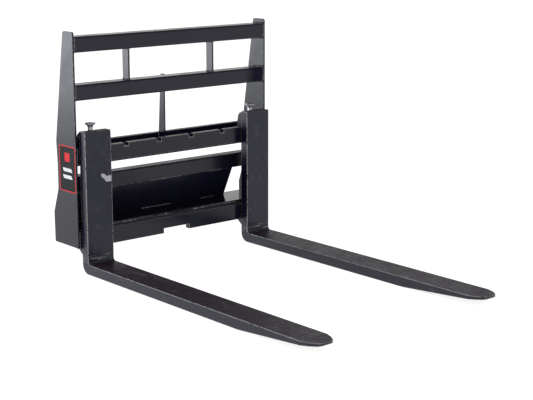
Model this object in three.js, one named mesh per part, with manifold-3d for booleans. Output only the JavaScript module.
// Pallet fork attachment for a skid steer loader: a welded carriage with a load guard, a quick-attach
// back, and two hook-on forks that slide along the carriage and are held by spring latches.
// Millimetres, +Z up. The forks reach towards -Y and the loader side faces +Y.
import * as THREE from "three";
import { mergeVertices } from "three/addons/utils/BufferGeometryUtils.js";
import Module from "manifold-3d";

const wasm = await Module();
wasm.setup();

// Overall
const WIDTH = 1219.2;
const HEIGHT = 1200;
const FORK_LENGTH = 1651;
const CARRIAGE_HEIGHT = 508;
const STOCK = 9.525;
const GAP = 0.3;

// Forks
const FORK_WIDTH = 152.4;
const FORK_THICKNESS = 50.8;
const FORK_CENTRE = 513;
const SHANK_CLEARANCE = 3;
const SHANK_RISE = 86;
const HEEL_OUTER_RADIUS = 48;
const HEEL_INNER_RADIUS = 16;
const TAPER_START = 0.706;
const TIP_THICKNESS = 14;
const NOSE_LENGTH = 81;

// Carriage rails
const RAIL_THICKNESS = 31.75;
const UPPER_RAIL_HEIGHT = 89;
const LOWER_RAIL_HEIGHT = 97;
const LOWER_RAIL_Z = 122;
const RAIL_CHAMFER = 8;
const RAIL_BEVEL = 11;
const NOTCH_PITCH = 205;
const NOTCHES_PER_SIDE = 3;
const NOTCH_WIDTH = 27;
const NOTCH_DEPTH = 21;
const REMOVAL_NOTCH_WIDTH = 165;
const REMOVAL_NOTCH_HEIGHT = 26;

// Load guard
const TUBE_DEPTH = 88.9;
const TUBE_HEIGHT = 78;
const TUBE_WALL = 4.8;
const TUBE_RADIUS = 11;
const TUBE_SETBACK = 2;
const TOP_TUBE_DROP = 24;
const MID_TUBE_DROP = 259;
const UPRIGHT_DEPTH = 50.8;
const UPRIGHT_OFFSET = 267;

// Side plates
const PLATE_BOTTOM_Z = 126;
const PLATE_TOP_DEPTH = 88;
const PLATE_WAIST_DEPTH = 178;
const PLATE_THROAT_DEPTH = 171;
const PLATE_FOOT_DEPTH = 217;
const PLATE_CORNER_RADIUS = 12;

// Quick attach
const CHANNEL_FRONT = 95;
const CHANNEL_DROP = 162;
const CHANNEL_HEIGHT = 76;
const CHANNEL_LIP = 26;
const BACK_PLATE_LEFT_GAP = 52;
const BACK_PLATE_RIGHT_GAP = 145;
const BACK_PLATE_RUN = 78;
const CROSS_BAR_DEPTH = 28.6;
const RIB_OFFSET = 305;
const RIB_HEIGHT = 42;
const SPINE_TOP_DEPTH = 27;
const FLOOR_START = 14;
const SLOT_LENGTH = 64;
const SLOT_WIDTH = 20;
const SLOT_OFFSET = 430;

// Hooks and latches
const HOOK_WIDTH = 127;
const HOOK_HEIGHT = 76;
const HOOK_REACH = 13;
const HOOK_CLEARANCE = 1.5;
const HOOK_TIP_DROP = 30;
const LATCH_AXIS = 13;
const LATCH_TRAVEL = 19;
const PIN_RADIUS = 9.525;
const PIN_LIFT = 2;
const BUSH_RADIUS = 12.7;
const BUSH_HEIGHT = 38;
const BUSH_STANDOFF = 22;
const BORE_CLEARANCE = 0.35;
const BORE_FLOOR = 10;
const KNOB_RADIUS = 27;
const KNOB_SKIRT_RADIUS = 16;
const KNOB_HEIGHT = 20.5;
const COLLAR_THICKNESS = 5;
const WIRE = 1.8;
const SPRING_TURNS = 4;

// Values that follow from those above
const INNER = WIDTH / 2 - STOCK - GAP;
const RAIL_TOP = LOWER_RAIL_Z + CARRIAGE_HEIGHT;
const RAIL_BOTTOM = RAIL_TOP - UPPER_RAIL_HEIGHT;
const LOWER_RAIL_TOP = LOWER_RAIL_Z + LOWER_RAIL_HEIGHT;
const TOP_TUBE_Z = HEIGHT - TOP_TUBE_DROP - TUBE_HEIGHT;
const MID_TUBE_Z = HEIGHT - MID_TUBE_DROP - TUBE_HEIGHT;
const TUBE_BACK = TUBE_SETBACK + TUBE_DEPTH;
const CHANNEL_TOP = RAIL_TOP - CHANNEL_DROP;
const CHANNEL_BACK = PLATE_THROAT_DEPTH;
const CHANNEL_BOTTOM = CHANNEL_TOP - CHANNEL_HEIGHT;
const CROSS_BAR_BACK = PLATE_THROAT_DEPTH - 0.7;
const CROSS_BAR_FRONT = CROSS_BAR_BACK - CROSS_BAR_DEPTH;
const FLOOR_Z = LOWER_RAIL_TOP + GAP;
const FLOOR_TOP = FLOOR_Z + STOCK;
const FLOOR_BACK = PLATE_FOOT_DEPTH - 1;
const SHANK_BACK = -SHANK_CLEARANCE;
const SHANK_FRONT = SHANK_BACK - FORK_THICKNESS;
const SHANK_TOP = RAIL_TOP + SHANK_RISE;
const TIP_Y = SHANK_FRONT - FORK_LENGTH;
const HOOK_TOP = RAIL_TOP + HOOK_HEIGHT;
const BORE_RADIUS = BUSH_RADIUS + GAP;
const PIN_TIP = RAIL_TOP + PIN_LIFT;
const BUSH_TOP = HOOK_TOP + BUSH_STANDOFF;
const BUSH_BOTTOM = BUSH_TOP - BUSH_HEIGHT;
const KNOB_BOTTOM = BUSH_TOP + 1.5;
const KNOB_TOP = KNOB_BOTTOM + KNOB_HEIGHT;
const COLLAR_BOTTOM = RAIL_TOP + BORE_FLOOR + 1 + LATCH_TRAVEL;

function solid(geometry) {
  const bare = geometry.index ? geometry.toNonIndexed() : geometry.clone();
  bare.deleteAttribute("normal");
  bare.deleteAttribute("uv");
  const merged = mergeVertices(bare, 1e-4);
  return new wasm.Manifold(
    new wasm.Mesh({
      numProp: 3,
      vertProperties: new Float32Array(merged.attributes.position.array),
      triVerts: new Uint32Array(merged.index.array),
    }),
  );
}

function geometryOf(manifold) {
  const m = manifold.getMesh();
  const positions = new Float32Array(m.numVert * 3);
  for (let i = 0; i < m.numVert; i++) {
    positions.set(m.vertProperties.subarray(i * m.numProp, i * m.numProp + 3), i * 3);
  }
  const geometry = new THREE.BufferGeometry();
  geometry.setAttribute("position", new THREE.BufferAttribute(positions, 3));
  geometry.setIndex(new THREE.BufferAttribute(new Uint32Array(m.triVerts), 1));
  return geometry;
}

// Corners [u, v, r]: a corner with r becomes an arc of chords, kept inside its two edges.
function rounded(corners, chords = 6) {
  const points = [];
  corners.forEach(([u, v, r = 0], i) => {
    const here = new THREE.Vector2(u, v);
    if (r === 0) {
      points.push(here);
      return;
    }
    const before = corners[(i + corners.length - 1) % corners.length];
    const after = corners[(i + 1) % corners.length];
    const a = new THREE.Vector2(before[0] - u, before[1] - v);
    const b = new THREE.Vector2(after[0] - u, after[1] - v);
    const half = Math.acos(a.dot(b) / (a.length() * b.length())) / 2;
    const back = Math.min(r / Math.tan(half), 0.49 * a.length(), 0.49 * b.length());
    const radius = back * Math.tan(half);
    a.normalize();
    b.normalize();
    const centre = a.clone().add(b).normalize().multiplyScalar(radius / Math.sin(half)).add(here);
    const from = a.multiplyScalar(back).add(here).sub(centre);
    const to = b.multiplyScalar(back).add(here).sub(centre);
    let sweep = to.angle() - from.angle();
    if (sweep > Math.PI) sweep -= 2 * Math.PI;
    if (sweep < -Math.PI) sweep += 2 * Math.PI;
    for (let k = 0; k <= chords; k++) {
      points.push(from.clone().rotateAround(new THREE.Vector2(), (sweep * k) / chords).add(centre));
    }
  });
  return points;
}

// An outline in (y, z) made solid along X, centred on x = 0.
function alongX(corners, width, holes = [], chords = 6) {
  const shape = new THREE.Shape(rounded(corners, chords));
  holes.forEach((hole) => shape.holes.push(new THREE.Path(rounded(hole, chords))));
  const geometry = new THREE.ExtrudeGeometry(shape, { depth: width, bevelEnabled: false });
  geometry.translate(0, 0, -width / 2);
  geometry.applyMatrix4(new THREE.Matrix4().set(0, 0, 1, 0, 1, 0, 0, 0, 0, 1, 0, 0, 0, 0, 0, 1));
  return geometry;
}

// An outline in (x, y) made solid along Z from z = low.
function alongZ(corners, low, height, chords = 6) {
  const shape = new THREE.Shape(rounded(corners, chords));
  const geometry = new THREE.ExtrudeGeometry(shape, { depth: height, bevelEnabled: false });
  geometry.translate(0, 0, low);
  return geometry;
}

function box(x0, x1, y0, y1, z0, z1) {
  const geometry = new THREE.BoxGeometry(x1 - x0, y1 - y0, z1 - z0);
  geometry.translate((x0 + x1) / 2, (y0 + y1) / 2, (z0 + z1) / 2);
  return geometry;
}

// A profile in (radius, z) turned about the Z axis.
function turned(profile, segments = 32) {
  const points = profile.map(([r, z]) => new THREE.Vector2(r, z));
  const geometry = new THREE.LatheGeometry(points, segments);
  geometry.rotateX(Math.PI / 2);
  return geometry;
}

// Round wire wound into an open coil, its lowest point at z = 0 and its highest at z = height.
function coil(radius, wire, height, turns) {
  const sides = 8;
  const stations = turns * 20;
  const rise = height - wire;
  const vertices = [];
  const index = [];
  for (let i = 0; i <= stations; i++) {
    const t = (i / stations) * turns * 2 * Math.PI;
    const z = wire / 2 + (rise * i) / stations;
    for (let k = 0; k < sides; k++) {
      const a = (k / sides) * 2 * Math.PI;
      const r = radius + (wire / 2) * Math.cos(a);
      vertices.push(r * Math.cos(t), r * Math.sin(t), z + (wire / 2) * Math.sin(a));
    }
  }
  for (let i = 0; i < stations; i++) {
    for (let k = 0; k < sides; k++) {
      const a = i * sides + k;
      const b = i * sides + ((k + 1) % sides);
      index.push(a, a + sides, b, b, a + sides, b + sides);
    }
  }
  const last = stations * sides;
  for (let k = 1; k < sides - 1; k++) {
    index.push(0, k, k + 1);
    index.push(last, last + k + 1, last + k);
  }
  const geometry = new THREE.BufferGeometry();
  geometry.setAttribute("position", new THREE.Float32BufferAttribute(vertices, 3));
  geometry.setIndex(index);
  return geometry;
}

const attachment = new THREE.Group();
attachment.name = "pallet_fork_attachment";
attachment.position.y = -(TIP_Y + PLATE_FOOT_DEPTH) / 2;

function piece(name, geometry, colour, metalness, roughness, parent = attachment) {
  const material = new THREE.MeshStandardMaterial({ color: colour, metalness, roughness });
  const mesh = new THREE.Mesh(geometry, material);
  mesh.name = name;
  parent.add(mesh);
  return mesh;
}

const painted = (name, geometry, parent) => piece(name, geometry, 0x2c2c34, 0.1, 0.42, parent);
const plated = (name, geometry, parent) => piece(name, geometry, 0xb9bbb8, 0.9, 0.3, parent);

// Side plates: one outline, narrow at the guard, waisted at the hook rail and flared at the foot.
const waistZ = RAIL_TOP + 20;
const plateOutline = [
  [0, PLATE_BOTTOM_Z, 6],
  [PLATE_FOOT_DEPTH - 2, PLATE_BOTTOM_Z, 6],
  [PLATE_FOOT_DEPTH, LOWER_RAIL_TOP + 62, 14],
  [PLATE_THROAT_DEPTH, CHANNEL_BOTTOM + 15, 14],
  [PLATE_THROAT_DEPTH, RAIL_BOTTOM, 0],
  [PLATE_WAIST_DEPTH, waistZ, 30],
  [PLATE_TOP_DEPTH, HEIGHT, PLATE_CORNER_RADIUS],
  [0, HEIGHT, PLATE_CORNER_RADIUS],
];
for (const [name, side] of [["side_plate_left", -1], ["side_plate_right", 1]]) {
  const plate = painted(name, alongX(plateOutline, STOCK));
  plate.position.x = side * (WIDTH / 2 - STOCK / 2);
}

// Guard tubes: hollow rectangular tube with rounded corners, open at both ends.
function tubeSection(low) {
  const rect = (inset, radius) => [
    [TUBE_SETBACK + inset, low + inset, radius],
    [TUBE_BACK - inset, low + inset, radius],
    [TUBE_BACK - inset, low + TUBE_HEIGHT - inset, radius],
    [TUBE_SETBACK + inset, low + TUBE_HEIGHT - inset, radius],
  ];
  return [rect(0, TUBE_RADIUS), [rect(TUBE_WALL, TUBE_RADIUS - TUBE_WALL)]];
}
for (const [name, low] of [["top_tube", TOP_TUBE_Z], ["mid_tube", MID_TUBE_Z]]) {
  const [outer, holes] = tubeSection(low);
  painted(name, alongX(outer, 2 * INNER, holes));
}

// Two flat uprights between the guard tubes, on their centre line.
const uprightLow = MID_TUBE_Z + TUBE_HEIGHT + GAP;
const uprightHigh = TOP_TUBE_Z - GAP;
const uprightMid = TUBE_SETBACK + TUBE_DEPTH / 2;
for (const [name, side] of [["guard_upright_left", -1], ["guard_upright_right", 1]]) {
  const upright = painted(name, box(
    -STOCK / 2, STOCK / 2, -UPRIGHT_DEPTH / 2, UPRIGHT_DEPTH / 2, uprightLow, uprightHigh,
  ));
  upright.position.set(side * UPRIGHT_OFFSET, uprightMid, 0);
}

// Centre spine: from behind the mid tube down in front of the cross bar, with a foot on the rail.
const ribLow = RAIL_BOTTOM + 7;
const ribHigh = ribLow + RIB_HEIGHT;
const spineFront = TUBE_BACK + GAP;
const spineTop = MID_TUBE_Z + TUBE_HEIGHT + 2;
const spineBack = CROSS_BAR_FRONT - GAP;
painted("centre_spine", alongX([
  [spineFront, spineTop, 4],
  [spineFront + SPINE_TOP_DEPTH, spineTop, 6],
  [spineBack, RAIL_TOP + 10],
  [spineBack, ribLow],
  [RAIL_THICKNESS + GAP, ribLow],
  [RAIL_THICKNESS + GAP, ribHigh],
  [spineFront - 20, ribHigh],
  [spineFront, ribHigh + 24],
], STOCK));

// Upper fork rail: latch notches cut down from its top edge, one pair per fork position.
const upperRail = alongX([
  [0, RAIL_BOTTOM + RAIL_CHAMFER],
  [RAIL_CHAMFER, RAIL_BOTTOM],
  [RAIL_THICKNESS, RAIL_BOTTOM],
  [RAIL_THICKNESS, RAIL_TOP - RAIL_CHAMFER],
  [RAIL_THICKNESS - RAIL_CHAMFER + 1, RAIL_TOP],
  [0, RAIL_TOP, 2],
], 2 * INNER);
let upperSolid = solid(upperRail);
for (let i = 0; i < NOTCHES_PER_SIDE; i++) {
  for (const side of [-1, 1]) {
    const x = side * (FORK_CENTRE - i * NOTCH_PITCH);
    const notch = box(
      x - NOTCH_WIDTH / 2, x + NOTCH_WIDTH / 2,
      -1, RAIL_THICKNESS + 1, RAIL_TOP - NOTCH_DEPTH, RAIL_TOP + 1,
    );
    upperSolid = upperSolid.subtract(solid(notch));
  }
}
painted("upper_fork_rail", geometryOf(upperSolid));

// Lower fork rail, with the removal notch in the middle of its bottom edge.
const lowerRail = alongX([
  [0, LOWER_RAIL_Z],
  [RAIL_THICKNESS, LOWER_RAIL_Z],
  [RAIL_THICKNESS, LOWER_RAIL_TOP],
  [RAIL_BEVEL, LOWER_RAIL_TOP],
  [0, LOWER_RAIL_TOP - RAIL_BEVEL],
], 2 * INNER);
const removal = box(
  -REMOVAL_NOTCH_WIDTH / 2, REMOVAL_NOTCH_WIDTH / 2,
  -1, RAIL_THICKNESS + 1, LOWER_RAIL_Z - 1, LOWER_RAIL_Z + REMOVAL_NOTCH_HEIGHT,
);
painted("lower_fork_rail", geometryOf(solid(lowerRail).subtract(solid(removal))));

// Cross bar behind the upper rail, and the two ribs that join them below the hook tips.
painted("rear_cross_bar", box(
  -INNER, INNER, CROSS_BAR_FRONT, CROSS_BAR_BACK, RAIL_BOTTOM + 2, RAIL_TOP + 2,
));
for (const [name, side] of [["rail_rib_left", -1], ["rail_rib_right", 1]]) {
  const rib = painted(name, box(
    -STOCK / 2, STOCK / 2, RAIL_THICKNESS + GAP, spineBack, ribLow, ribHigh,
  ));
  rib.position.x = side * RIB_OFFSET;
}

// Quick attach top channel: a folded plate open downwards that hooks over the loader's plate.
painted("quick_attach_top_channel", alongX([
  [CHANNEL_FRONT, CHANNEL_BOTTOM],
  [CHANNEL_FRONT, CHANNEL_TOP, 10],
  [CHANNEL_BACK, CHANNEL_TOP, 10],
  [CHANNEL_BACK, CHANNEL_TOP - CHANNEL_LIP],
  [CHANNEL_BACK - STOCK, CHANNEL_TOP - CHANNEL_LIP],
  [CHANNEL_BACK - STOCK, CHANNEL_TOP - STOCK, 2],
  [CHANNEL_FRONT + STOCK, CHANNEL_TOP - STOCK, 2],
  [CHANNEL_FRONT + STOCK, CHANNEL_BOTTOM],
], 2 * INNER));

// Quick attach back plate: leans from under the channel to the floor plate.
const backTop = CHANNEL_BOTTOM - GAP;
const backLow = FLOOR_TOP + GAP;
const lean = Math.atan2(BACK_PLATE_RUN, backTop - backLow);
const backSpan = STOCK / Math.cos(lean);
const backPlate = alongX([
  [CHANNEL_FRONT, backTop],
  [CHANNEL_FRONT + BACK_PLATE_RUN, backLow],
  [CHANNEL_FRONT + BACK_PLATE_RUN + backSpan, backLow],
  [CHANNEL_FRONT + backSpan, backTop],
], 2 * INNER - BACK_PLATE_LEFT_GAP - BACK_PLATE_RIGHT_GAP);
backPlate.translate((BACK_PLATE_LEFT_GAP - BACK_PLATE_RIGHT_GAP) / 2, 0, 0);
painted("quick_attach_back_plate", backPlate);

// Floor plate on the lower rail, with a slot for each of the loader's locking wedges.
let floorSolid = solid(box(-INNER, INNER, FLOOR_START, FLOOR_BACK, FLOOR_Z, FLOOR_TOP));
const slotBack = FLOOR_BACK - 6;
for (const side of [-1, 1]) {
  const x = side * SLOT_OFFSET;
  const slot = alongZ([
    [x - SLOT_LENGTH / 2, slotBack - SLOT_WIDTH, 5],
    [x + SLOT_LENGTH / 2, slotBack - SLOT_WIDTH, 5],
    [x + SLOT_LENGTH / 2, slotBack, 5],
    [x - SLOT_LENGTH / 2, slotBack, 5],
  ], FLOOR_Z - 1, STOCK + 2, 4);
  floorSolid = floorSolid.subtract(solid(slot));
}
painted("floor_plate", geometryOf(floorSolid));

// Fork: one bent bar, its blade tapered from below and its nose narrowed in plan.
const taperY = SHANK_FRONT - TAPER_START * FORK_LENGTH;
const forkSide = alongX([
  [SHANK_BACK, SHANK_TOP, 3],
  [SHANK_FRONT, SHANK_TOP, 5],
  [SHANK_FRONT, FORK_THICKNESS, HEEL_INNER_RADIUS],
  [TIP_Y, FORK_THICKNESS, 4],
  [TIP_Y, FORK_THICKNESS - TIP_THICKNESS, 4],
  [taperY, 0],
  [SHANK_BACK, 0, HEEL_OUTER_RADIUS],
], FORK_WIDTH, [], 8);
const w = FORK_WIDTH / 2;
const forkPlan = alongZ([
  [-w, SHANK_BACK + 1],
  [w, SHANK_BACK + 1],
  [w, TIP_Y + NOSE_LENGTH, 4],
  [0.82 * w, TIP_Y + 0.5 * NOSE_LENGTH, 20],
  [0.55 * w, TIP_Y + 0.08 * NOSE_LENGTH, 20],
  [0.2 * w, TIP_Y, 16],
  [-0.2 * w, TIP_Y, 16],
  [-0.55 * w, TIP_Y + 0.08 * NOSE_LENGTH, 20],
  [-0.82 * w, TIP_Y + 0.5 * NOSE_LENGTH, 20],
  [-w, TIP_Y + NOSE_LENGTH, 4],
], -1, SHANK_TOP + 2, 5);
const forkSolid = solid(forkSide).intersect(solid(forkPlan));

// Top hook: hangs on the rail, its tip behind it, bored for the latch.
const hookFront = SHANK_BACK + GAP;
const lipFront = RAIL_THICKNESS + HOOK_CLEARANCE;
const lipBack = lipFront + HOOK_REACH;
const hookFloor = RAIL_TOP + GAP;
const topHookBlock = alongX([
  [hookFront, hookFloor],
  [hookFront, HOOK_TOP],
  [lipBack - 24, HOOK_TOP, 4],
  [lipBack - 9, HOOK_TOP - 16, 6],
  [lipBack - 2, HOOK_TOP - 51, 6],
  [lipBack, RAIL_TOP + 4],
  [lipBack, RAIL_TOP - HOOK_TIP_DROP, 4],
  [lipFront + 1, RAIL_TOP - HOOK_TIP_DROP, 2],
  [lipFront, hookFloor],
], HOOK_WIDTH);
const bores = solid(turned([
  [0, hookFloor - 1],
  [PIN_RADIUS + BORE_CLEARANCE + 0.15, hookFloor - 1],
  [PIN_RADIUS + BORE_CLEARANCE + 0.15, RAIL_TOP + BORE_FLOOR],
  [BORE_RADIUS, RAIL_TOP + BORE_FLOOR],
  [BORE_RADIUS, HOOK_TOP + 1],
  [0, HOOK_TOP + 1],
])).translate([0, LATCH_AXIS, 0]);
const topHookSolid = solid(topHookBlock).subtract(bores);

// Bottom hook: keeps the fork's heel on the lower rail.
const bottomHook = [
  [hookFront, LOWER_RAIL_Z - HOOK_CLEARANCE],
  [lipFront, LOWER_RAIL_Z - HOOK_CLEARANCE],
  [lipFront, LOWER_RAIL_Z + 13, 2],
  [lipBack - 4, LOWER_RAIL_Z + 13, 3],
  [lipBack - 2, LOWER_RAIL_Z - 14, 6],
  [hookFront + 12, LOWER_RAIL_Z - 40, 6],
  [hookFront, LOWER_RAIL_Z - 40],
];

// Latch parts, drawn about the latch axis in the raised, unlocked position.
const pinBore = PIN_RADIUS + BORE_CLEARANCE;
const bush = [
  [pinBore, BUSH_BOTTOM],
  [BUSH_RADIUS, BUSH_BOTTOM],
  [BUSH_RADIUS, BUSH_TOP - 1],
  [BUSH_RADIUS - 1, BUSH_TOP],
  [pinBore, BUSH_TOP],
  [pinBore, BUSH_BOTTOM],
];
const roof = KNOB_TOP - 2.5;
const pin = [
  [0, PIN_TIP],
  [PIN_RADIUS - 2.5, PIN_TIP],
  [PIN_RADIUS, PIN_TIP + 3],
  [PIN_RADIUS, roof - GAP],
  [0, roof - GAP],
];
const skirtBore = BUSH_RADIUS + 0.55;
const knob = [
  [0, roof],
  [skirtBore, roof],
  [skirtBore, KNOB_BOTTOM],
  [KNOB_SKIRT_RADIUS, KNOB_BOTTOM],
  [KNOB_SKIRT_RADIUS, KNOB_TOP - 13],
  [KNOB_RADIUS, KNOB_TOP - 8],
  [KNOB_RADIUS, KNOB_TOP - 1.5],
  [KNOB_RADIUS - 1.5, KNOB_TOP],
  [0, KNOB_TOP],
];
const collarBore = PIN_RADIUS + GAP;
const collarRadius = BORE_RADIUS - 0.8;
const collar = [
  [collarBore, COLLAR_BOTTOM],
  [collarRadius, COLLAR_BOTTOM],
  [collarRadius, COLLAR_BOTTOM + COLLAR_THICKNESS],
  [collarBore, COLLAR_BOTTOM + COLLAR_THICKNESS],
  [collarBore, COLLAR_BOTTOM],
];
const springLow = COLLAR_BOTTOM + COLLAR_THICKNESS + GAP;
const springHeight = BUSH_BOTTOM - GAP - springLow;
const springRadius = (PIN_RADIUS + BORE_RADIUS) / 2;

for (const [hand, side] of [["left", -1], ["right", 1]]) {
  const fork = new THREE.Group();
  fork.name = `fork_group_${hand}`;
  fork.position.x = side * FORK_CENTRE;
  attachment.add(fork);
  painted(`fork_${hand}`, geometryOf(forkSolid), fork);
  painted(`top_hook_${hand}`, geometryOf(topHookSolid), fork);
  painted(`bottom_hook_${hand}`, alongX(bottomHook, HOOK_WIDTH), fork);
  const latch = new THREE.Group();
  latch.name = `latch_group_${hand}`;
  latch.position.y = LATCH_AXIS;
  fork.add(latch);
  plated(`latch_bush_${hand}`, turned(bush), latch);
  plated(`latch_pin_${hand}`, turned(pin), latch);
  plated(`latch_knob_${hand}`, turned(knob), latch);
  plated(`latch_collar_${hand}`, turned(collar), latch);
  const spring = plated(`latch_spring_${hand}`, coil(springRadius, WIRE, springHeight, SPRING_TURNS), latch);
  spring.position.z = springLow;
}

export default attachment;
